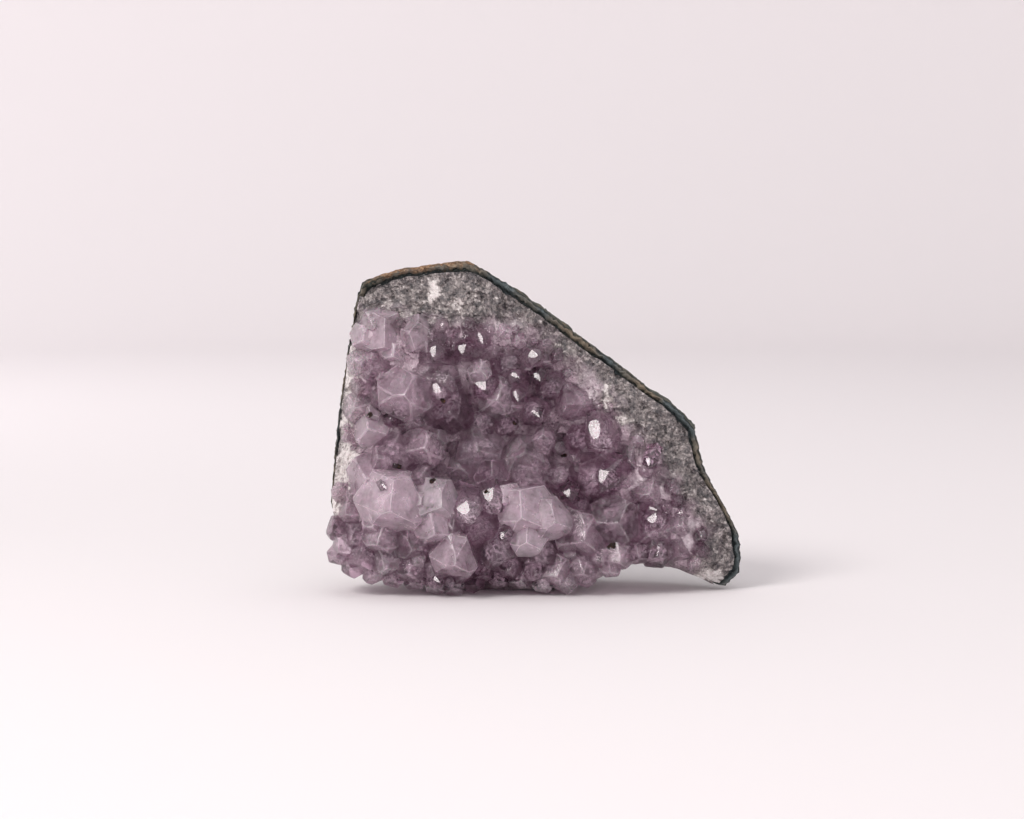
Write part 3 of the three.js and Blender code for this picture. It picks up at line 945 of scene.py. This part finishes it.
def mark_faces(mesh):
    """Writes which faces are mirror smooth and which belong to a worn edge, which is paled partly as wear and
    partly as a painted highlight.
    """
    normals = np.empty(len(mesh.polygons) * 3)
    mesh.polygons.foreach_get("normal", normals)
    # Faces that look the same way on one crystal draw the same number, so a whole face is smooth or not.
    facing = np.round(normals.reshape(-1, 3) * 6) @ np.array([12.9898, 78.233, 37.719])
    draw = np.sin(facing + 91.7 * face_values(mesh, "tone")) * 43758.5453
    gloss = (draw - np.floor(draw) < GLOSSY_SHARE) | (face_values(mesh, "frost") < 0)
    worn = np.empty(len(mesh.polygons), dtype=np.int32)
    mesh.polygons.foreach_get("material_index", worn)
    mesh.polygons.foreach_set("material_index", np.zeros(len(worn), dtype=np.int32))
    for name, values in (("gloss", gloss), ("worn", worn == WORN_AND_HIGHLIT)):
        attribute = mesh.attributes.new(name, "FLOAT", "FACE")
        attribute.data.foreach_set("value", values.astype(np.float32))


# ---------------------------------------------------------------- materials


def srgb(code):
    """A colour written as sRGB hex, turned to linear."""
    parts = [int(code[i:i + 2], 16) / 255 for i in (1, 3, 5)]
    return [c / 12.92 if c <= 0.04045 else ((c + 0.055) / 1.055) ** 2.4 for c in parts] + [1.0]


def set_stops(color_ramp, stops):
    """Stops of a colour ramp: (position, sRGB hex)."""
    elements = color_ramp.elements
    while len(elements) < len(stops):
        elements.new(0.5)
    for element, (position, code) in zip(elements, stops):
        element.position = position
        element.color = srgb(code)


def node(tree, kind, settings=None, links=None):
    """Adds a node, sets its properties, sockets and colour stops, and links sockets to other nodes'
    outputs."""
    made = tree.nodes.new(kind)
    for key, value in (settings or {}).items():
        if key == "stops":
            set_stops(made.color_ramp, value)
        elif isinstance(key, str) and hasattr(made, key) and key not in made.inputs:
            setattr(made, key, value)
        else:
            made.inputs[key].default_value = value
    for key, (other, output) in (links or {}).items():
        tree.links.new(other.outputs[output], made.inputs[key])
    return made


def new_material(name):
    """An empty material: itself, its nodes and its output."""
    material = bpy.data.materials.new(name)
    material.use_nodes = True
    tree = material.node_tree
    tree.nodes.clear()
    return material, tree, tree.nodes.new("ShaderNodeOutputMaterial")


def per_mm(size):
    """Texture scale for a feature of the given size in millimetres."""
    return 1.0 / (size * MM)


def amethyst_material():
    """Amethyst, natural growth faces: mauve and milky, finely etched, paler on worn edges, with
    a few faces left mirror smooth. The pale edges are partly wear and partly a painted highlight along
    the rims, and the milkiness is partly painted light on the points that the key lights."""
    material, tree, out = new_material("amethyst_natural_faces")
    place = node(tree, "ShaderNodeNewGeometry")
    frost = node(tree, "ShaderNodeAttribute", {"attribute_name": "frost"})
    tone = node(tree, "ShaderNodeAttribute", {"attribute_name": "tone"})
    worn = node(tree, "ShaderNodeAttribute", {"attribute_name": "worn"})
    gloss = node(tree, "ShaderNodeAttribute", {"attribute_name": "gloss"})
    cloud = node(tree, "ShaderNodeTexNoise", {"Scale": per_mm(3.0), "Detail": 5.0, "Roughness": 0.6},
                 {"Vector": (place, "Position")})
    etch = node(tree, "ShaderNodeTexNoise", {"Scale": per_mm(0.8), "Detail": 6.0, "Roughness": 0.68},
                {"Vector": (place, "Position")})
    # The frost whitens a point: partly real frost, partly painted light on the points the key lights.
    patchy = node(tree, "ShaderNodeMath", {"operation": "MULTIPLY_ADD", 1: 0.67},
                  {0: (frost, "Fac"), 2: (cloud, "Fac")})
    fine = node(tree, "ShaderNodeMath", {"operation": "MULTIPLY_ADD", 1: 0.45},
                {0: (etch, "Fac"), 2: (patchy, 0)})
    # Worn edges add haze: partly wear, partly a painted highlight along the rims.
    edges = node(tree, "ShaderNodeMath", {"operation": "MULTIPLY_ADD", 1: 0.20},
                 {0: (worn, "Fac"), 2: (fine, 0)})
    # Haze whitens and clouds the crystal: partly milky frost and wear, partly painted light on lit points and
    # painted highlight on the rims.
    haze_and_light = node(tree, "ShaderNodeMapRange", {"From Min": 0.825, "From Max": 1.625}, {"Value": (edges, 0)})
    shade = node(tree, "ShaderNodeMath", {"operation": "MULTIPLY_ADD", 1: 0.9, 2: -0.45},
                 {0: (etch, "Fac")})
    body = node(tree, "ShaderNodeMath", {"operation": "ADD"}, {0: (shade, 0), 1: (tone, "Fac")})
    tint = node(tree, "ShaderNodeValToRGB",
                {"stops": [(0.0, "#B396A8"), (0.5, "#E4D2DD"), (1.0, "#FAF2F7")]},
                {"Fac": (body, 0)})
    white = node(tree, "ShaderNodeMix", {"data_type": "RGBA", 7: srgb("#F7E4EF")},
                 {0: (haze_and_light, 0), 6: (tint, "Color")})
    matt = node(tree, "ShaderNodeMapRange", {"To Min": 0.05, "To Max": 0.32}, {"Value": (haze_and_light, 0)})
    rough = node(tree, "ShaderNodeMix", {"data_type": "FLOAT", 3: 0.03}, {0: (gloss, "Fac"), 2: (matt, 0)})
    clear = node(tree, "ShaderNodeMapRange", {"To Min": 0.97, "To Max": 0.50}, {"Value": (haze_and_light, 0)})
    relief = node(tree, "ShaderNodeMapRange", {"To Min": 0.5, "To Max": 0.0}, {"Value": (gloss, "Fac")})
    bump = node(tree, "ShaderNodeBump", {"Distance": 0.16 * MM},
                {"Height": (etch, "Fac"), "Strength": (relief, 0)})
    bump2 = node(tree, "ShaderNodeBump", {"Distance": 0.26 * MM},
                 {"Height": (cloud, "Fac"), "Normal": (bump, 0), "Strength": (relief, 0)})
    shader = node(tree, "ShaderNodeBsdfPrincipled",
                  {"IOR": 1.544, "Subsurface Weight": 0.3, "Subsurface Radius": (1.0, 0.62, 0.85),
                   "Subsurface Scale": 1.8 * MM},
                  {"Base Color": (white, 2), "Roughness": (rough, 0), "Transmission Weight": (clear, 0),
                   "Normal": (bump2, 0)})
    smoke = node(tree, "ShaderNodeVolumeAbsorption", {"Color": srgb("#C28EB4"), "Density": 42.0})
    tree.links.new(shader.outputs[0], out.inputs["Surface"])
    tree.links.new(smoke.outputs[0], out.inputs["Volume"])
    return material


def crack_material():
    """Healed crack in quartz: a white film of tiny bubbles, broken into patches with clear gaps."""
    material, tree, out = new_material("healed_crack_film")
    place = node(tree, "ShaderNodeNewGeometry")
    film = node(tree, "ShaderNodeTexNoise", {"Scale": per_mm(0.6), "Detail": 5.0, "Roughness": 0.65},
                {"Vector": (place, "Position")})
    cover = node(tree, "ShaderNodeMapRange", {"From Min": 0.47, "From Max": 0.56, "To Max": 0.95},
                 {"Value": (film, "Fac")})
    shader = node(tree, "ShaderNodeBsdfPrincipled",
                  {"Base Color": srgb("#FBF3F8"), "Roughness": 0.3, "IOR": 1.33}, {"Alpha": (cover, 0)})
    tree.links.new(shader.outputs[0], out.inputs["Surface"])
    return material


def quartz_material():
    """Massive quartz, freshly broken: grey and sugary, with milky flecks and columns that run in from
    the rind, lilac under the crystals."""
    material, tree, out = new_material("grey_quartz_broken")
    place = node(tree, "ShaderNodeNewGeometry")
    druse = node(tree, "ShaderNodeAttribute", {"attribute_name": "druse"})
    milk = node(tree, "ShaderNodeAttribute", {"attribute_name": "milk"})
    along = node(tree, "ShaderNodeAttribute", {"attribute_name": "along"})
    deep = node(tree, "ShaderNodeAttribute", {"attribute_name": "deep"})
    columns = node(tree, "ShaderNodeCombineXYZ", links={"X": (along, "Fac"), "Y": (deep, "Fac")})
    # Both coordinates are in millimetres, so columns are about 1 mm wide and five times as long.
    drawn = node(tree, "ShaderNodeMapping", {"Scale": (1.0, 0.22, 1.0)}, {"Vector": (columns, 0)})
    streak = node(tree, "ShaderNodeTexNoise", {"Scale": 0.9, "Detail": 4.0, "Roughness": 0.65},
                  {"Vector": (drawn, 0)})
    grains = node(tree, "ShaderNodeTexVoronoi", {"Scale": per_mm(0.55)}, {"Vector": (place, "Position")})
    coarse = node(tree, "ShaderNodeTexVoronoi", {"Scale": per_mm(1.3)}, {"Vector": (place, "Position")})
    mottle = node(tree, "ShaderNodeTexNoise", {"Scale": per_mm(0.8), "Detail": 6.0, "Roughness": 0.72},
                  {"Vector": (place, "Position")})
    patches = node(tree, "ShaderNodeTexNoise", {"Scale": per_mm(7.0), "Detail": 3.0},
                   {"Vector": (place, "Position")})
    split = node(tree, "ShaderNodeSeparateColor", links={"Color": (grains, "Color")})
    split_coarse = node(tree, "ShaderNodeSeparateColor", links={"Color": (coarse, "Color")})
    level = node(tree, "ShaderNodeMath", {"operation": "MULTIPLY_ADD", 1: 0.22},
                 {0: (split, 0), 2: (mottle, "Fac")})
    level2 = node(tree, "ShaderNodeMath", {"operation": "MULTIPLY_ADD", 1: 0.16},
                  {0: (split_coarse, 1), 2: (level, 0)})
    level3 = node(tree, "ShaderNodeMath", {"operation": "MULTIPLY_ADD", 1: 0.34},
                  {0: (streak, "Fac"), 2: (level2, 0)})
    level4 = node(tree, "ShaderNodeMath", {"operation": "MULTIPLY_ADD", 1: 0.42},
                  {0: (milk, "Fac"), 2: (level3, 0)})
    spread = node(tree, "ShaderNodeMapRange", {"From Min": 0.45, "From Max": 1.27}, {"Value": (level4, 0)})
    grey = node(tree, "ShaderNodeValToRGB",
                {"stops": [(0.22, "#474648"), (0.42, "#6A6566"), (0.54, "#857E7D"), (0.66, "#A59D9B"),
                           (0.90, "#E9E3E1")]},
                {"Fac": (spread, 0)})
    lilac = node(tree, "ShaderNodeValToRGB",
                 {"stops": [(0.34, "#806A76"), (0.5, "#C0AAB6"), (0.64, "#EADDE4")]},
                 {"Fac": (patches, "Fac")})
    bare = node(tree, "ShaderNodeMath", {"operation": "MULTIPLY_ADD", 1: -1.2, "use_clamp": True},
                {0: (milk, "Fac"), 2: (druse, "Fac")})
    both = node(tree, "ShaderNodeMix", {"data_type": "RGBA"},
                {0: (bare, 0), 6: (grey, "Color"), 7: (lilac, "Color")})
    rough = node(tree, "ShaderNodeMapRange", {"To Min": 0.12, "To Max": 0.6}, {"Value": (split, 1)})
    bump = node(tree, "ShaderNodeBump", {"Strength": 0.8, "Distance": 0.30 * MM}, {"Height": (mottle, "Fac")})
    bump2 = node(tree, "ShaderNodeBump", {"Strength": 0.9, "Distance": 0.32 * MM},
                 {"Height": (grains, "Distance"), "Normal": (bump, 0)})
    shader = node(tree, "ShaderNodeBsdfPrincipled",
                  {"IOR": 1.544, "Subsurface Weight": 0.25, "Subsurface Radius": (1.0, 0.9, 0.95),
                   "Subsurface Scale": 1.0 * MM},
                  {"Base Color": (both, 2), "Roughness": (rough, 0), "Normal": (bump2, 0)})
    tree.links.new(shader.outputs[0], out.inputs["Surface"])
    return material


def rind_material():
    """Celadonite and weathered basalt skin: dull, earthy, dark green-grey, in thin layers where it is
    broken, rusty over the top, with painted shade that darkens the crevices between its knobs."""
    material, tree, out = new_material("celadonite_rind_weathered")
    place = node(tree, "ShaderNodeNewGeometry")
    layer = node(tree, "ShaderNodeAttribute", {"attribute_name": "layer"})
    rust = node(tree, "ShaderNodeAttribute", {"attribute_name": "rust"})
    mottle = node(tree, "ShaderNodeTexNoise", {"Scale": per_mm(2.5), "Detail": 8.0, "Roughness": 0.65},
                  {"Vector": (place, "Position")})
    bent = node(tree, "ShaderNodeMix", {"data_type": "VECTOR", 0: 0.0012},
                {4: (place, "Position"), 5: (mottle, "Color")})
    knobs = node(tree, "ShaderNodeTexVoronoi", {"Scale": per_mm(1.5)}, {"Vector": (bent, 1)})
    # Painted shade: the crevices between the knobs are darkened towards near black.
    crevice_shade = node(tree, "ShaderNodeMapRange", {"From Min": 0.35, "From Max": 0.85, "To Max": 0.75},
                   {"Value": (knobs, "Distance")})
    grit = node(tree, "ShaderNodeTexNoise", {"Scale": per_mm(0.5), "Detail": 4.0, "Roughness": 0.7},
                {"Vector": (place, "Position")})
    dusty = node(tree, "ShaderNodeValToRGB",
                 {"stops": [(0.30, "#3A403C"), (0.46, "#525850"), (0.58, "#6E6A5C"), (0.72, "#94866E")]},
                 {"Fac": (mottle, "Fac")})
    earth_and_crevice_shade = node(tree, "ShaderNodeMix", {"data_type": "RGBA", 7: srgb("#1C1F1E")},
                 {0: (crevice_shade, 0), 6: (dusty, "Color")})
    wavy = node(tree, "ShaderNodeMath", {"operation": "MULTIPLY_ADD", 1: 0.22},
                {0: (grit, "Fac"), 2: (layer, "Fac")})
    swing = node(tree, "ShaderNodeTexNoise", {"Scale": per_mm(14.0), "Detail": 2.0},
                 {"Vector": (place, "Position")})
    olive = node(tree, "ShaderNodeValToRGB",
                 {"stops": [(0.10, "#2B2D2A"), (0.26, "#3B3A33"), (0.42, "#8A7D6C"), (0.66, "#6F675A"),
                            (0.80, "#1B211E"), (1.0, "#2A302C")]},
                 {"Fac": (wavy, 0)})
    blue = node(tree, "ShaderNodeValToRGB",
                {"stops": [(0.10, "#25292B"), (0.26, "#2E3537"), (0.42, "#5F696B"), (0.62, "#434C4D"),
                           (0.80, "#172022"), (1.0, "#2A3336")]},
                {"Fac": (wavy, 0)})
    pick = node(tree, "ShaderNodeMapRange", {"From Min": 0.42, "From Max": 0.58}, {"Value": (swing, "Fac")})
    bands = node(tree, "ShaderNodeMix", {"data_type": "RGBA"},
                 {0: (pick, 0), 6: (olive, "Color"), 7: (blue, "Color")})
    inner = node(tree, "ShaderNodeMapRange", {"From Min": 0.0, "From Max": 0.08}, {"Value": (layer, "Fac")})
    base = node(tree, "ShaderNodeMix", {"data_type": "RGBA"},
                {0: (inner, 0), 6: (earth_and_crevice_shade, 2), 7: (bands, 2)})
    stain = node(tree, "ShaderNodeMath", {"operation": "MULTIPLY_ADD", 1: 1.5},
                 {0: (mottle, "Fac"), 2: (rust, "Fac")})
    outer = node(tree, "ShaderNodeMath", {"operation": "MULTIPLY_ADD", 1: -0.7},
                 {0: (layer, "Fac"), 2: (stain, 0)})
    stained = node(tree, "ShaderNodeMapRange", {"From Min": 1.22, "From Max": 1.55}, {"Value": (outer, 0)})
    ochre = node(tree, "ShaderNodeValToRGB",
                 {"stops": [(0.35, "#4A372B"), (0.5, "#86664A"), (0.65, "#BC9B7C")]},
                 {"Fac": (grit, "Fac")})
    colour = node(tree, "ShaderNodeMix", {"data_type": "RGBA"},
                  {0: (stained, 0), 6: (base, 2), 7: (ochre, "Color")})
    bump = node(tree, "ShaderNodeBump", {"Strength": 0.9, "Distance": 0.5 * MM}, {"Height": (mottle, "Fac")})
    bump2 = node(tree, "ShaderNodeBump", {"Strength": 0.9, "Distance": 0.3 * MM},
                 {"Height": (grit, "Fac"), "Normal": (bump, 0)})
    bump3 = node(tree, "ShaderNodeBump", {"Strength": 0.8, "Distance": 0.45 * MM, "invert": True},
                 {"Height": (knobs, "Distance"), "Normal": (bump2, 0)})
    shader = node(tree, "ShaderNodeBsdfPrincipled", {"Roughness": 0.86},
                  {"Base Color": (colour, 2), "Normal": (bump3, 0)})
    tree.links.new(shader.outputs[0], out.inputs["Surface"])
    return material


def iron_material():
    """Goethite: brown-black earthy iron oxide with rusty dust."""
    material, tree, out = new_material("goethite_earthy")
    place = node(tree, "ShaderNodeNewGeometry")
    dust = node(tree, "ShaderNodeTexNoise", {"Scale": per_mm(0.4), "Detail": 5.0},
                {"Vector": (place, "Position")})
    brown = node(tree, "ShaderNodeValToRGB",
                 {"stops": [(0.38, "#0E0908"), (0.55, "#28170F"), (0.68, "#5E3C22")]},
                 {"Fac": (dust, "Fac")})
    bump = node(tree, "ShaderNodeBump", {"Strength": 0.8, "Distance": 0.15 * MM}, {"Height": (dust, "Fac")})
    shader = node(tree, "ShaderNodeBsdfPrincipled", {"Roughness": 0.8},
                  {"Base Color": (brown, "Color"), "Normal": (bump, 0)})
    tree.links.new(shader.outputs[0], out.inputs["Surface"])
    return material


def paper_material():
    """Matt studio paper, pale and faintly pink."""
    material, tree, out = new_material("studio_paper_matt")
    shader = node(tree, "ShaderNodeBsdfPrincipled", {"Base Color": srgb("#F4F0F1"), "Roughness": 0.85,
                                                     "Specular IOR Level": 0.2})
    tree.links.new(shader.outputs[0], out.inputs["Surface"])
    return material


# ---------------------------------------------------------------- stage, lights, camera


def make_stage():
    """A round paper sweep: flat floor that curves up into a wall all round."""
    flat, bend, top = 0.95, 0.35, 0.62  # radius of the floor, radius of the curve, top of the wall, m
    steps = 14
    profile = [(0.0, 0.0), (flat * 0.5, 0.0), (flat, 0.0)]
    profile += [(flat + bend * math.sin(a), bend * (1 - math.cos(a)))
                for a in (math.pi / 2 * k / steps for k in range(1, steps + 1))]
    profile.append((flat + bend, top))
    sides = 96
    points = [(0, 0, 0)]
    faces = []
    for r, h in profile[1:]:
        points += [(r * math.cos(2 * math.pi * k / sides), r * math.sin(2 * math.pi * k / sides), h)
                   for k in range(sides)]
    for k in range(sides):
        j = (k + 1) % sides
        faces.append((0, 1 + k, 1 + j))
        for r in range(len(profile) - 2):
            a = 1 + r * sides
            faces.append((a + k, a + sides + k, a + sides + j, a + j))
    mesh = bpy.data.meshes.new("paper_sweep")
    mesh.from_pydata(points, [], faces)
    for polygon in mesh.polygons:
        polygon.use_smooth = True
    sweep = bpy.data.objects.new("paper_sweep", mesh)
    bpy.context.scene.collection.objects.link(sweep)
    sweep.data.materials.append(paper_material())


def add_light(name, at, aim, size, power, colour):
    """A round softbox: its place, what it is turned to, its diameter in metres, and its power in watts."""
    data = bpy.data.lights.new(name, "AREA")
    data.shape = "DISK"
    data.size = size
    data.energy = power
    data.color = srgb(colour)[:3]
    light = bpy.data.objects.new(name, data)
    light.location = at
    light.rotation_euler = (Vector(aim) - Vector(at)).to_track_quat("-Z", "Y").to_euler()
    bpy.context.scene.collection.objects.link(light)


def make_lights():
    """A key from the upper left, a broad top light, a wash on the paper and a weak fill from the front."""
    middle = (0, 0, 0.03)
    add_light("key_softbox", (-0.56, -0.49, 0.69), middle, 0.42, 5.2, "#FFFAF8")
    add_light("top_softbox", (0.1, 0.15, 1.0), middle, 0.9, 1.3, "#FFFCFC")
    add_light("backdrop_wash", (-0.62, 0.30, 0.42), (-0.35, 1.30, 0.25), 0.30, 2.0, "#FFF8FA")
    add_light("front_fill", (0.25, -0.85, 0.16), (0, 0, 0.01), 0.5, 1.0, "#FFFAFC")
    world = bpy.data.worlds.new("studio")
    bpy.context.scene.world = world
    world.use_nodes = True
    background = world.node_tree.nodes["Background"]
    background.inputs["Color"].default_value = srgb("#FAF6F8")
    background.inputs["Strength"].default_value = 0.59


def make_camera():
    """A long lens a little above the table, level with the specimen's middle."""
    data = bpy.data.cameras.new("camera")
    data.lens = 85.0
    data.sensor_width = 36.0
    data.clip_start = 0.01
    camera = bpy.data.objects.new("camera", data)
    distance = 0.519
    rise = math.radians(5.0)
    aim = Vector((0.0, 0.0, (cad_high.z - cad_low.z) / 2))
    camera.location = aim + distance * Vector((0, -math.cos(rise), math.sin(rise)))
    camera.rotation_euler = (aim - camera.location).to_track_quat("-Z", "Y").to_euler()
    data.shift_x = -0.0205
    data.shift_y = 0.015
    bpy.context.scene.collection.objects.link(camera)
    bpy.context.scene.camera = camera


# ---------------------------------------------------------------- the cluster


bpy.context.scene.view_settings.view_transform = "Standard"
make_camera()
make_stage()
make_lights()
rind = make_rind()
rind.data.materials.append(rind_material())
quartz = make_quartz()
quartz.data.materials.append(quartz_material())
druse, crystals = make_druse()
druse.data.materials.append(amethyst_material())
make_veils(crystals, druse).data.materials.append(crack_material())
make_iron_grains([druse, quartz]).data.materials.append(iron_material())
